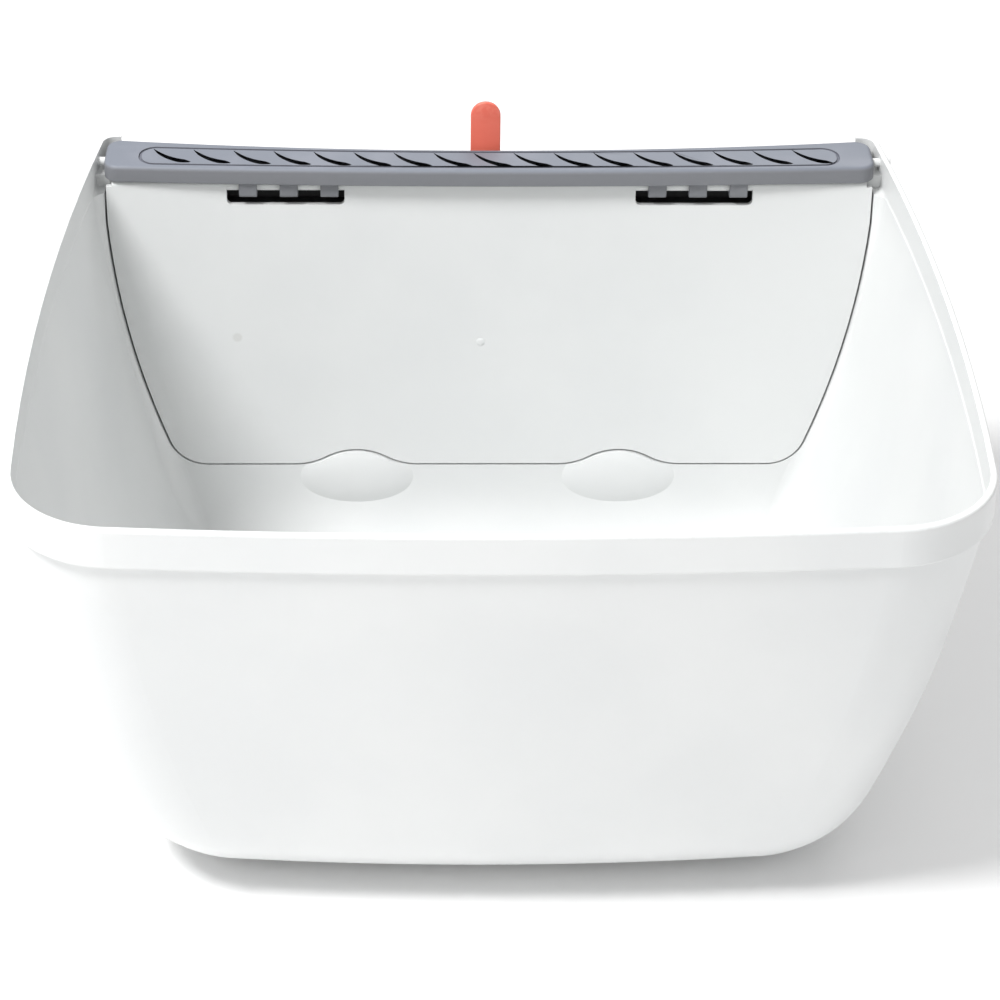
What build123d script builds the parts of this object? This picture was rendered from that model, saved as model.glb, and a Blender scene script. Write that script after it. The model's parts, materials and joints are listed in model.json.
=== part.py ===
"""Hand-carried waste tub with a hinged back panel, a grip bar and a thumb release.

Millimetres. The origin is at the middle of the footprint, on the surface the tub stands on.
+Z is up, the tub's front faces -Y and its grip bar runs along X at the back.
"""
from build123d import *

import os
from math import cos, radians, sin, sqrt, tan

os.makedirs("parts", exist_ok=True)

# ---- driving sizes -------------------------------------------------------------------
# tub
rim_width = 400.0
rim_depth = 344.0
rim_height = 215.0
wall = 3.0
band_height = 18.0
band_step = 3.0
base_radius = 40.0
front_corner = 46.0
rear_corner_top = 9.0
rear_corner_growth = 0.02
rim_rear_corner = 9.0
rim_edge = 1.1
band_edge = 1.2
band_inner_edge = 2.0
housing_edge = 5.0
side_bulge_radius = 1600.0
side_bulge_y = -40.0
front_bow = 8.0
draft_linear = 0.089
draft_square = 0.00071
front_draft_share = 0.8

# finger recesses under the back edge of the tub, and the low bulges that they raise inside
recess_x = 65.0
recess_z = 46.0
recess_wide = 31.0
recess_deep = 20.5
recess_high = 14.0
bulge_rise = 3.0
bulge_wide = 34.0
bulge_deep = 7.7
bulge_high = 20.0
hump_half = 30.0
hump_height = 8.0

# back panel and the pocket it closes
panel_lean = 4.0
panel_base_y = 125.1
panel_bottom = 55.5
panel_top_half = rim_width / 2 - 18.8
panel_top_z = rim_height - 29.0
panel_mid_half = rim_width / 2 - 25.6
panel_mid_z = 132.0
panel_low_half = rim_width / 2 - 48.5
panel_corner = 19.0
panel_gap = 1.0
corner_relief = 9.0
panel_thickness = 3.0
panel_rib = 2.2
panel_rib_depth = 9.0
panel_rib_x = 150.0
hinge_rod = 5.2
hinge_gap = 0.35
pocket_back_y = 166.5
pocket_lip = 6.0
bumper_height = 2.2
rear_lip_z = rim_height - 14.0
rear_wrap = 10.0
rear_notch = 12.0
saddle_half = rim_width / 2 - 20.5
saddle_outer = rim_width / 2 - 12.9
saddle_length = 13.5
saddle_y = 153.25

# grip bar
bar_half = rim_width / 2 - 18.0
bar_height = 8.4
bar_front_y = 134.0
bar_front_bow = 4.5
bar_back_y = 157.0
bar_back_bow = 10.5
bar_end_corner = 7.0
bar_edge = 2.0
grip_half = bar_half - 16.0
grip_front_y = 137.4
grip_back_y = 154.4
grip_corner = 7.5
grip_back_share = 0.6
groove_sag = 5.0
grip_line = 1.5
grip_depth = 1.0
groove_count = 16
groove_pitch = 19.1
groove_length = 20.0
groove_width = 3.2
groove_angle = -40.0
groove_y = 146.0
core_half = bar_half - 32.0
core_width = 11.0
core_height = 3.6
core_y = 147.5
core_gap = 0.2
core_edge = 0.6

# hooks and the covers behind their slots
slot_x = 96.7
slot_length = 55.6
slot_height = 6.4
slot_corner = 2.5
hook_width = 8.5
hook_pitch = 19.2
hook_shift = 1.6
hook_leg = 2.0
hook_barb = 8.0
hook_barb_height = 1.6
hook_chamfer = 0.8
cover_depth = 8.5
cover_wall = 1.6

# bolts that hold the bar between the tub's sides
bolt_diameter = 4.0
bolt_head = 7.0
bolt_head_height = 1.6
bolt_reach = 20.0
bolt_y = 152.0

# thumb release
tab_x = -2.0
tab_width = 14.2
tab_thickness = 2.2
tab_top = rim_height + 21.0
tab_front_y = 163.3
lever_pin_diameter = 3.0
lever_pin_y = 159.0
lever_pin_z = rim_height - 37.0
hub_diameter = 6.4
hub_length = 10.0
nose_drop = 11.0
nose_reach = 8.0
nose_height = 3.0
cheek_thickness = 2.4
cheek_spacing = 30.0
bracket_plate = 1.8
bracket_half_height = 16.0
bracket_flange = 9.0
bracket_mid_z = lever_pin_z - 2.0
bracket_window = 12.0
bracket_skin = 1.0
crank_height = 14.0
lever_pin_proud = 0.8
pin_clearance = 0.05
spring_wire = 0.8
spring_radius = 2.6
spring_turns = 4
spring_pitch = 1.1
tab_notch = 26.0
tab_notch_z = lever_pin_z + 10.0
catch_plate_width = 24.0
catch_plate_height = 14.0
catch_thickness = 1.2
catch_corner = 1.5
catch_lip_width = 9.0

# screws and small parts
boss_height = 4.0
catch_z = lever_pin_z - 11.0
catch_screw_x = 8.0
bracket_screw_x = 18.0
bracket_screw_z = lever_pin_z - 8.0
screw_shank = 2.8
screw_head = 5.6
screw_head_height = 1.8
screw_length = 5.0
screw_edge = 0.5
boss_diameter = 6.5
bumper_x = 118.0
bumper_diameter = 4.4
face_gap = 0.4

# ---- sizes that follow ---------------------------------------------------------------
band_bottom = rim_height - band_height
bar_bottom = rim_height - bar_height
bolt_z = rim_height - bar_height / 2
hinge_z = bar_bottom - hinge_gap - hinge_rod / 2
slot_top = hinge_z - hinge_rod / 2
slot_mid_z = slot_top - slot_height / 2
lean = radians(panel_lean)
panel_plane = Plane(
    origin=(0, panel_base_y, 0), x_dir=(1, 0, 0), z_dir=(0, -cos(lean), sin(lean))
)


def panel_front_y(level):
    """Y of the panel's front face at a height."""
    return panel_base_y + level * tan(lean)


hinge_y = panel_front_y(hinge_z) + hinge_rod / 2


def draft_inset(level):
    """How far the tapering side stands in from the rim's outer face at a height."""
    depth = band_bottom - level
    return band_step + draft_linear * depth + draft_square * depth**2


def side_x(half, y):
    """Half width of a bowed side at a depth."""
    return half - (y - side_bulge_y) ** 2 / (2 * side_bulge_radius)


def plan_face(level, half, front_y, rear_y, front_radius, rear_radius):
    """Bowed rectangle at a height, seen from above."""
    shoulder_y = front_y + front_bow
    shoulder_x = side_x(half, shoulder_y)
    rear_x = side_x(half, rear_y)
    with BuildSketch(Plane.XY.offset(level), mode=Mode.PRIVATE) as section:
        with BuildLine():
            ThreePointArc((rear_x, rear_y), (half, side_bulge_y), (shoulder_x, shoulder_y))
            ThreePointArc((shoulder_x, shoulder_y), (0, front_y), (-shoulder_x, shoulder_y))
            ThreePointArc((-shoulder_x, shoulder_y), (-half, side_bulge_y), (-rear_x, rear_y))
            Line((-rear_x, rear_y), (rear_x, rear_y))
        make_face()
        fillet(section.vertices().group_by(Axis.Y)[0], front_radius)
        fillet(section.vertices().group_by(Axis.Y)[-1], rear_radius)
    return section.sketch


def shell_section(level, floor, inset):
    """Face of the shell at a height, moved inwards by inset, rounding in to its floor."""
    radius = base_radius - inset
    below = max(0.0, floor + radius - level)
    foot = radius - sqrt(radius**2 - below**2)
    taper = draft_inset(level)
    rear_corner = rear_corner_top + rear_corner_growth * (band_bottom - level)
    return plan_face(
        level,
        rim_width / 2 - taper - inset - foot,
        -rim_depth / 2 + front_draft_share * taper + inset + foot,
        panel_front_y(level) + wall - inset - foot,
        front_corner - inset - foot,
        max(rear_corner - inset - foot, rear_corner_top / 2),
    )


def shell_solid(floor, inset, top):
    """Tapering tub form from its floor to a height, moved inwards by inset."""
    radius = base_radius - inset
    turns = [0, 12, 25, 40, 57, 75]
    foot_levels = [floor + radius * (1 - cos(radians(turn))) for turn in turns]
    side_levels = [60.0, 95.0, 130.0, 165.0, top]
    with BuildPart(mode=Mode.PRIVATE) as form:
        for level in foot_levels + side_levels:
            add(shell_section(level, floor, inset))
        loft()
    return form.part


def rim_section(level, inset):
    """Face of the rim band at a height, moved inwards by inset."""
    return plan_face(
        level,
        rim_width / 2 - inset,
        -rim_depth / 2 + inset,
        rim_depth / 2 - inset,
        front_corner - inset,
        rim_rear_corner - inset,
    )


def panel_face(grow, top, humps):
    """U outline of the back panel up to a height, grown by grow, with or without its two humps."""
    with BuildSketch(panel_plane, mode=Mode.PRIVATE) as outline:
        with BuildLine():
            edge = ThreePointArc(
                (panel_top_half, panel_top_z), (panel_mid_half, panel_mid_z), (panel_low_half, panel_bottom)
            )
            mirror(edge, about=Plane.YZ)
            if humps:
                hump_foot = recess_x - hump_half
                inner = TangentArc(
                    (hump_foot, panel_bottom),
                    (recess_x - hump_half / 2, panel_bottom + hump_height / 2),
                    tangent=(1, 0),
                )
                crest = ThreePointArc(inner @ 1, (recess_x, panel_bottom + hump_height),
                                      (recess_x + hump_half / 2, panel_bottom + hump_height / 2))
                outer = TangentArc((recess_x + hump_half, panel_bottom), crest @ 1, tangent=(-1, 0))
                floor_line = Line(outer @ 0, (panel_low_half, panel_bottom))
                mirror([inner, crest, outer, floor_line], about=Plane.YZ)
                Line((-hump_foot, panel_bottom), (hump_foot, panel_bottom))
            else:
                Line((-panel_low_half, panel_bottom), (panel_low_half, panel_bottom))
            Line((panel_top_half, panel_top_z), (panel_top_half, top - grow))
            Line((panel_top_half, top - grow), (-panel_top_half, top - grow))
            Line((-panel_top_half, top - grow), (-panel_top_half, panel_top_z))
        make_face()
        low_points = outline.vertices().group_by(Axis.Y)[0].sort_by(Axis.X)
        fillet([low_points[0], low_points[-1]], panel_corner)
        if grow:
            offset(amount=grow)
    return outline.sketch


def panel_slab(grow, top, near, far, humps=True):
    """Solid on the panel's outline, from near to far behind its front face."""
    face = panel_face(grow, top, humps).moved(Location(panel_plane.z_dir * -near))
    with BuildPart(mode=Mode.PRIVATE) as slab:
        extrude(face, amount=far - near, dir=panel_plane.z_dir * -1)
    return slab.part


def ellipsoid_pair(wide, deep, high, depth_y):
    """Ellipsoids at both finger recesses, centred at a depth."""
    form = scale(Sphere(1), by=(wide, deep, high))
    return [Pos(side * recess_x, depth_y, recess_z) * form for side in (-1, 1)]


def write(block, name):
    """Label a finished piece and write it as its own file."""
    block.part.label = name
    export_step(block.part, f"parts/{name}.step")


# ---- tub -----------------------------------------------------------------------------
lip_depth = panel_rib_depth + bumper_height + face_gap
bulge_front_y = panel_front_y(recess_z) - bulge_rise
bulges = ellipsoid_pair(bulge_wide, bulge_deep, bulge_high, bulge_front_y + bulge_deep)
recesses = ellipsoid_pair(recess_wide, recess_deep, recess_high, bulge_front_y + wall + recess_deep)
outside_form = shell_solid(0.0, 0.0, band_bottom + wall)
inside_form = shell_solid(wall, wall, rim_height)
front_pocket = panel_slab(panel_gap, rim_height + wall, -corner_relief, lip_depth)

with BuildPart() as rear_housing:
    add(panel_slab(panel_gap + wall, rim_height + wall, 0, rim_depth / 4, humps=False))
    with BuildSketch(Plane.XY):
        with Locations((0, pocket_back_y + wall - rim_depth / 2)):
            Rectangle(2 * rim_width, rim_depth)
    extrude(amount=band_bottom + wall, mode=Mode.INTERSECT)
    fillet(rear_housing.faces().sort_by(Axis.Y)[-1].edges().filter_by(Axis.X, reverse=True), housing_edge)

with BuildPart() as rear_space:
    add(panel_slab(-pocket_lip, rim_height + wall, 0, rim_depth / 4))
    with BuildSketch(Plane.XY):
        with Locations((0, pocket_back_y - rim_depth / 2)):
            Rectangle(2 * rim_width, rim_depth)
    extrude(amount=rim_height, mode=Mode.INTERSECT)

with BuildPart() as band:
    add(rim_section(band_bottom, 0))
    extrude(amount=band_height)
    fillet(band.edges().group_by(Axis.Z)[0], band_edge)
    fillet(band.edges().group_by(Axis.Z)[-1], rim_edge)

with BuildPart() as band_space:
    add(rim_section(band_bottom + wall, wall))
    extrude(amount=band_height)
    fillet(band_space.edges().group_by(Axis.Z)[0], band_inner_edge)

with BuildPart() as tub_outside:
    add(outside_form)
    add(rear_housing.part)
    add(band.part)

bulge_skins = [(tub_outside.part & bulge) - front_pocket for bulge in bulges]

notch_half = side_x(rim_width / 2, rim_depth / 2) - rear_wrap
with BuildPart() as tub:
    add(tub_outside.part)
    add(inside_form, mode=Mode.SUBTRACT)
    add(band_space.part, mode=Mode.SUBTRACT)
    add(front_pocket, mode=Mode.SUBTRACT)
    add(rear_space.part, mode=Mode.SUBTRACT)
    for skin in bulge_skins:
        add(skin)
    for recess in recesses:
        add(recess, mode=Mode.SUBTRACT)
    for side in (-1, 1):
        with Locations((side * (saddle_half + saddle_outer) / 2, saddle_y, (band_bottom + bar_bottom) / 2)):
            Box(saddle_outer - saddle_half, saddle_length, bar_bottom - band_bottom)
    with Locations((0, rim_depth / 2, rim_height)):
        Box(2 * notch_half, 2 * rear_notch, 2 * (rim_height - rear_lip_z), mode=Mode.SUBTRACT)
    with Locations((tab_x, pocket_back_y + wall, rear_lip_z)):
        Box(tab_notch, 2 * rear_notch, 2 * (rear_lip_z - tab_notch_z), mode=Mode.SUBTRACT)
    with Locations((0, bolt_y, bolt_z)):
        Cylinder(bolt_diameter / 2, 2 * rim_width, rotation=(0, 90, 0), mode=Mode.SUBTRACT)
    for side in (-1, 1):
        with Locations((tab_x + side * bracket_screw_x, pocket_back_y, bracket_screw_z)):
            Cylinder(screw_shank / 2, 2 * (wall - bracket_skin), rotation=(90, 0, 0), mode=Mode.SUBTRACT)
write(tub, "tub")

# ---- soft pads the panel closes on ---------------------------------------------------
for side, name in ((-1, "panel_bumper_left"), (1, "panel_bumper_right")):
    with BuildPart() as bumper:
        with BuildSketch(panel_plane.offset(-lip_depth)):
            with Locations((side * bumper_x, panel_bottom - panel_gap + bumper_diameter / 2)):
                Circle(bumper_diameter / 2)
        extrude(amount=bumper_height)
        fillet(bumper.edges().sort_by(Axis.Y)[0], bumper_height / 4)
    write(bumper, name)

# ---- back panel ----------------------------------------------------------------------
slot_v = slot_mid_z / cos(lean)
hinge_v = hinge_z / cos(lean)
catch_v = catch_z / cos(lean)
boss_x = slot_length / 2 + cover_wall + boss_diameter / 2 + face_gap
boss_places = [(side * slot_x + ear * boss_x, slot_v) for side in (-1, 1) for ear in (-1, 1)]
catch_places = [(tab_x + ear * catch_screw_x, catch_v) for ear in (-1, 1)]
rib_top = hinge_v - 2 * hinge_rod
back_plane = panel_plane.offset(-panel_thickness)
boss_plane = panel_plane.offset(-panel_thickness - boss_height)

with BuildPart() as back_panel:
    add(panel_slab(0, hinge_v, 0, panel_thickness))
    add(panel_slab(0, rib_top, panel_thickness, panel_rib_depth))
    add(
        panel_slab(-panel_rib, rib_top + 3 * panel_rib, panel_thickness, 2 * panel_rib_depth),
        mode=Mode.SUBTRACT,
    )
    with BuildSketch(back_plane):
        with Locations(*[(side * panel_rib_x, panel_mid_z) for side in (-1, 1)]):
            Rectangle(panel_rib, 2 * (panel_mid_z - panel_bottom - panel_corner))
        with Locations((0, panel_mid_z)):
            Rectangle(2 * panel_mid_half - 2 * panel_rib, panel_rib)
    extrude(amount=panel_thickness - panel_rib_depth)
    with BuildSketch(back_plane):
        with Locations(*boss_places, *catch_places):
            Circle(boss_diameter / 2)
    extrude(amount=-boss_height)
    with BuildSketch(boss_plane):
        with Locations(*boss_places, *catch_places):
            Circle(screw_shank / 2)
    extrude(amount=screw_length, mode=Mode.SUBTRACT)
    with BuildSketch(panel_plane):
        with Locations(*[(side * slot_x, slot_v) for side in (-1, 1)]):
            RectangleRounded(slot_length, slot_height, slot_corner)
        with Locations(*[(side * slot_x, slot_v + slot_height / 2) for side in (-1, 1)]):
            Rectangle(slot_length, slot_height)
    extrude(amount=-panel_thickness, mode=Mode.SUBTRACT)
    with Locations((0, hinge_y, hinge_z)):
        Cylinder(hinge_rod / 2, 2 * (saddle_half - panel_gap), rotation=(0, 90, 0))
write(back_panel, "back_panel")


def screw_group(places, plane, reach):
    """Pan head screws at places, heads behind a plane and shanks ahead of it."""
    with BuildPart() as heads:
        with BuildSketch(plane):
            with Locations(*places):
                Circle(screw_head / 2)
        extrude(amount=-screw_head_height)
        fillet(heads.edges().group_by(Axis((0, 0, 0), plane.z_dir))[0], screw_edge)
        with BuildSketch(plane):
            with Locations(*places):
                Circle(screw_shank / 2)
        extrude(amount=reach)
    return heads


# ---- covers behind the slots, and their screws ---------------------------------------
for side, name in ((-1, "slot_cover_left"), (1, "slot_cover_right")):
    ears = [(side * slot_x + ear * boss_x, slot_v) for ear in (-1, 1)]
    ear_bridges = [(side * slot_x + ear * (boss_x - boss_diameter / 4), slot_v) for ear in (-1, 1)]
    with BuildPart() as cover:
        with BuildSketch(back_plane):
            with Locations((side * slot_x, slot_v - cover_wall / 2)):
                Rectangle(slot_length + 2 * cover_wall, slot_height + cover_wall)
        extrude(amount=-cover_depth)
        with BuildSketch(boss_plane):
            with Locations(*ears):
                Circle(boss_diameter / 2)
            with Locations(*ear_bridges):
                Rectangle(boss_diameter / 2 + 2 * face_gap, boss_diameter)
        extrude(amount=-cover_wall)
        with BuildSketch(boss_plane):
            with Locations(*ears):
                Circle(screw_shank / 2)
        extrude(amount=-cover_wall, mode=Mode.SUBTRACT)
        with BuildSketch(back_plane):
            with Locations((side * slot_x, slot_v)):
                Rectangle(slot_length, slot_height)
        extrude(amount=cover_wall - cover_depth, mode=Mode.SUBTRACT)
    write(cover, name)

cover_screws = screw_group(boss_places, boss_plane.offset(-cover_wall), screw_length + cover_wall)
write(cover_screws, "cover_screws")

# ---- strike plate on the panel's back ------------------------------------------------
catch_end_y = lever_pin_y - nose_reach - face_gap
with BuildPart() as catch_plate:
    with BuildSketch(boss_plane):
        with Locations((tab_x, catch_v)):
            RectangleRounded(catch_plate_width, catch_plate_height, catch_corner)
    extrude(amount=-catch_thickness)
    with BuildSketch(boss_plane):
        with Locations(*catch_places):
            Circle(screw_shank / 2)
    extrude(amount=-catch_thickness, mode=Mode.SUBTRACT)
    with BuildSketch(Plane.YZ.offset(tab_x)):
        with BuildLine():
            lip = Polyline(
                (panel_front_y(catch_z) + panel_thickness + boss_height + catch_thickness / 2, catch_z),
                (catch_end_y - catch_thickness, catch_z),
                (catch_end_y - catch_thickness, catch_z + nose_height),
            )
            offset(lip, amount=catch_thickness / 2, side=Side.BOTH)
        make_face()
    extrude(amount=catch_lip_width / 2, both=True)
write(catch_plate, "catch_plate")
catch_face = boss_plane.offset(-catch_thickness)
catch_screws = screw_group(catch_places, catch_face, screw_length + catch_thickness)
write(catch_screws, "catch_screws")

# ---- grip bar ------------------------------------------------------------------------


def bowed_face(level, half, front_y, sag_front, back_y, sag_back, corner):
    """Long face whose front and back bow forwards at mid length."""
    with BuildSketch(Plane.XY.offset(level), mode=Mode.PRIVATE) as outline:
        with BuildLine():
            ThreePointArc((half, front_y + sag_front), (0, front_y), (-half, front_y + sag_front))
            ThreePointArc((half, back_y + sag_back), (0, back_y), (-half, back_y + sag_back))
            Line((half, front_y + sag_front), (half, back_y + sag_back))
            Line((-half, front_y + sag_front), (-half, back_y + sag_back))
        make_face()
        fillet(outline.vertices(), corner)
    return outline.sketch


def bow_at(sag, x):
    """Offset of a bowed line from its middle at a distance along the bar."""
    return sag * (x / bar_half) ** 2


hook_front_y = panel_front_y(hinge_z) - hinge_gap - hook_leg
barb_top = slot_top - hinge_gap
grip_front_sag = bow_at(bar_front_bow, grip_half)
grip_back_sag = bow_at(bar_back_bow, grip_half) * grip_back_share
grip_face = bowed_face(
    rim_height, grip_half, grip_front_y, grip_front_sag, grip_back_y, grip_back_sag, grip_corner
)
with BuildPart() as grip_bar:
    extrude(
        bowed_face(
            bar_bottom, bar_half, bar_front_y, bar_front_bow, bar_back_y, bar_back_bow, bar_end_corner
        ),
        amount=bar_height,
    )
    fillet(grip_bar.edges().group_by(Axis.Z)[-1], bar_edge)
    with BuildSketch(Plane.XY.offset(rim_height)):
        add(grip_face)
        offset(grip_face, amount=-grip_line, mode=Mode.SUBTRACT)
        for index in range(groove_count):
            groove_x = (index - (groove_count - 1) / 2) * groove_pitch
            with Locations((groove_x, groove_y + bow_at(groove_sag, groove_x))):
                SlotOverall(groove_length, groove_width, rotation=groove_angle)
    extrude(amount=-grip_depth, mode=Mode.SUBTRACT)
    with Locations((0, core_y, bar_bottom + (core_height + core_gap) / 2)):
        Box(
            2 * (core_half + core_gap), core_width + 2 * core_gap, core_height + core_gap,
            mode=Mode.SUBTRACT,
        )
    for side in (-1, 1):
        with Locations((side * bar_half, bolt_y, bolt_z)):
            Cylinder(bolt_diameter / 2, 2 * bolt_reach, rotation=(0, 90, 0), mode=Mode.SUBTRACT)
    for side in (-1, 1):
        for index in (-1, 0, 1):
            with BuildSketch(Plane.YZ.offset(side * slot_x + hook_shift + index * hook_pitch)):
                with BuildLine():
                    Polyline(
                        (hook_front_y, bar_bottom + bar_edge),
                        (hook_front_y, barb_top - hook_barb_height + hook_chamfer),
                        (hook_front_y + hook_chamfer, barb_top - hook_barb_height),
                        (hook_front_y + hook_barb, barb_top - hook_barb_height),
                        (hook_front_y + hook_barb, barb_top),
                        (hook_front_y + hook_leg, barb_top),
                        (hook_front_y + hook_leg, bar_bottom + bar_edge),
                        close=True,
                    )
                make_face()
            extrude(amount=hook_width / 2, both=True)
write(grip_bar, "grip_bar")

with BuildPart() as grip_core:
    with Locations((0, core_y, bar_bottom + core_height / 2)):
        Box(2 * core_half, core_width, core_height)
    fillet(grip_core.edges().filter_by(Axis.X), core_edge)
write(grip_core, "grip_core")

# ---- bolts through the tub's sides into the bar --------------------------------------
for side, name in ((-1, "bar_bolt_left"), (1, "bar_bolt_right")):
    outer_x = side_x(rim_width / 2, bolt_y - bolt_head / 2)
    inner_x = bar_half - bolt_reach
    with BuildPart() as bolt:
        with Locations((side * (inner_x + outer_x + bolt_head_height) / 2, bolt_y, bolt_z)):
            Cylinder(bolt_diameter / 2, outer_x + bolt_head_height - inner_x, rotation=(0, 90, 0))
        with Locations((side * (outer_x - wall / 2 + bolt_head_height), bolt_y, bolt_z)):
            Cylinder(bolt_head / 2, wall, rotation=(0, 90, 0))
        fillet(bolt.edges().group_by(Axis.X)[-1 if side > 0 else 0], screw_edge)
        add(tub.part, mode=Mode.SUBTRACT)
    write(bolt, name)

# ---- thumb release -------------------------------------------------------------------
with BuildPart() as release_tab:
    with BuildSketch(Plane.YZ.offset(tab_x)):
        with Locations((lever_pin_y, lever_pin_z)):
            Circle(hub_diameter / 2)
        with BuildLine():
            Polyline(
                (tab_front_y, tab_top),
                (tab_front_y, lever_pin_z + crank_height),
                (lever_pin_y - tab_thickness / 2, lever_pin_z),
                (lever_pin_y - tab_thickness / 2, lever_pin_z - nose_drop + nose_height),
                (lever_pin_y - nose_reach, lever_pin_z - nose_drop + nose_height),
                (lever_pin_y - nose_reach, lever_pin_z - nose_drop + nose_height / 2),
                (lever_pin_y - nose_reach + nose_height / 2, lever_pin_z - nose_drop),
                (lever_pin_y + tab_thickness / 2, lever_pin_z - nose_drop),
                (lever_pin_y + tab_thickness / 2, lever_pin_z),
                (tab_front_y + tab_thickness, lever_pin_z + crank_height),
                (tab_front_y + tab_thickness, tab_top),
                close=True,
            )
        make_face()
    extrude(amount=tab_width / 2, both=True)
    with BuildSketch(Plane.XZ):
        with Locations((tab_x, (tab_top + lever_pin_z) / 2)):
            Rectangle(2 * tab_width, tab_top - lever_pin_z + 4 * nose_drop)
        with Locations((tab_x, (tab_top + lever_pin_z) / 2 - nose_drop)):
            Rectangle(tab_width, tab_top - lever_pin_z + 2 * nose_drop - tab_width, mode=Mode.SUBTRACT)
        with Locations((tab_x, tab_top - tab_width / 2)):
            Circle(tab_width / 2, mode=Mode.SUBTRACT)
    extrude(amount=-rim_depth, mode=Mode.SUBTRACT)
    for side in (-1, 1):
        with Locations((tab_x + side * (hub_length / 2 + tab_width / 2), lever_pin_y, lever_pin_z)):
            Box(tab_width, hub_diameter + 2, hub_diameter + 2, mode=Mode.SUBTRACT)
    with Locations((tab_x, lever_pin_y, lever_pin_z)):
        Cylinder(lever_pin_diameter / 2 + pin_clearance, rim_width, rotation=(0, 90, 0), mode=Mode.SUBTRACT)
write(release_tab, "release_tab")

with BuildPart() as release_bracket:
    with Locations((tab_x, pocket_back_y - bracket_plate / 2, bracket_mid_z)):
        Box(2 * (bracket_screw_x + bracket_flange / 2), bracket_plate, 2 * bracket_half_height)
    for side in (-1, 1):
        with BuildSketch(Plane.YZ.offset(tab_x + side * cheek_spacing / 2)):
            with Locations((lever_pin_y, lever_pin_z)):
                Circle(hub_diameter / 2 + 1)
            with Locations(((lever_pin_y + pocket_back_y) / 2, lever_pin_z)):
                Rectangle(pocket_back_y - lever_pin_y, hub_diameter + 2)
        extrude(amount=-side * cheek_thickness)
    with Locations((tab_x, lever_pin_y, lever_pin_z)):
        Cylinder(lever_pin_diameter / 2, 2 * cheek_spacing, rotation=(0, 90, 0), mode=Mode.SUBTRACT)
    with Locations((tab_x, pocket_back_y, lever_pin_z + bracket_window / 2)):
        Box(
            tab_width + 2 * panel_gap, 3 * bracket_plate, bracket_window + hub_diameter + 2,
            mode=Mode.SUBTRACT,
        )
    for side in (-1, 1):
        with Locations((tab_x + side * bracket_screw_x, pocket_back_y, bracket_screw_z)):
            Cylinder(screw_shank / 2, 4 * bracket_plate, rotation=(90, 0, 0), mode=Mode.SUBTRACT)
write(release_bracket, "release_bracket")

bracket_face = Plane(origin=(0, pocket_back_y - bracket_plate, 0), x_dir=(-1, 0, 0), z_dir=(0, 1, 0))
bracket_places = [(-(tab_x + side * bracket_screw_x), bracket_screw_z) for side in (-1, 1)]
bracket_screws = screw_group(bracket_places, bracket_face, bracket_plate + wall - bracket_skin)
write(bracket_screws, "bracket_screws")

with BuildPart() as lever_pin:
    with Locations((tab_x, lever_pin_y, lever_pin_z)):
        Cylinder(lever_pin_diameter / 2, cheek_spacing + 2 * lever_pin_proud, rotation=(0, 90, 0))
    chamfer(lever_pin.edges().filter_by(GeomType.CIRCLE), lever_pin_proud / 2)
write(lever_pin, "lever_pin")

spring_start = tab_x + hub_length / 2 + spring_wire
with BuildPart() as release_spring:
    with BuildLine():
        coil = Helix(
            spring_pitch, spring_pitch * spring_turns, spring_radius,
            center=(spring_start, lever_pin_y, lever_pin_z), direction=(1, 0, 0),
        )
    with BuildSketch(Plane(origin=coil @ 0, z_dir=coil % 0)):
        Circle(spring_wire / 2)
    sweep(is_frenet=True)
write(release_spring, "release_spring")
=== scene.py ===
import json
from math import cos, pi, radians, sin

import bmesh
import bpy
from mathutils import Matrix, Vector


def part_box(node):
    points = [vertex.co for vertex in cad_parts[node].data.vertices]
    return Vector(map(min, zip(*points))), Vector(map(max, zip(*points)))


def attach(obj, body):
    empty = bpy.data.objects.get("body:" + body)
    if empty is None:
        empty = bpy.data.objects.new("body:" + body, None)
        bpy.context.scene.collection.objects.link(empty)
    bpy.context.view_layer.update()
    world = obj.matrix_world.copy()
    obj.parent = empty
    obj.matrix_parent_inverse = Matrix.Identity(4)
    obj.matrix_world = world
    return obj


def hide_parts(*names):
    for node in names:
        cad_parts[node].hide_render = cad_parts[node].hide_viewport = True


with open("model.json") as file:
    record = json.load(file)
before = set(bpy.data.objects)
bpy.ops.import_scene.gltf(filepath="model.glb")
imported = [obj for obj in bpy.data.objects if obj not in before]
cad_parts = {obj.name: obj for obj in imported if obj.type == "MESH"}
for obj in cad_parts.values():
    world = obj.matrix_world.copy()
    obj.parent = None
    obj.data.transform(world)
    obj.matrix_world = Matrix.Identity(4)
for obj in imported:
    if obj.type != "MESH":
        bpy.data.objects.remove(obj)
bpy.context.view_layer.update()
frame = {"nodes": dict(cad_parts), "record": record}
nodes = frame["nodes"]
print("frame loaded, nodes:", len(nodes))

# angles in degrees, lengths in metres
view = {
    "azimuth": -1.643, "elevation": 33.5, "roll": 0.851, "distance": 1.3682,
    "target": (0.00327, 0.01625, 0.108), "lens": 108.0, "sensor": 36.0, "clip": (0.05, 50.0),
}


def placeCamera():
    azimuth, elevation, roll = (radians(view[key]) for key in ("azimuth", "elevation", "roll"))
    back = Vector((sin(azimuth) * cos(elevation), -cos(azimuth) * cos(elevation), sin(elevation)))
    level = Vector((cos(azimuth), sin(azimuth), 0))
    upright = back.cross(level)
    right = level * cos(roll) + upright * sin(roll)
    up = upright * cos(roll) - level * sin(roll)
    data = bpy.data.cameras.new("viewCamera")
    data.lens, data.sensor_width = view["lens"], view["sensor"]
    data.clip_start, data.clip_end = view["clip"]
    camera = bpy.data.objects.new("viewCamera", data)
    place = Vector(view["target"]) + back * view["distance"]
    camera.matrix_world = Matrix.Translation(place) @ Matrix((right, up, back)).transposed().to_4x4()
    bpy.context.scene.collection.objects.link(camera)
    bpy.context.scene.camera = camera


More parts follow.
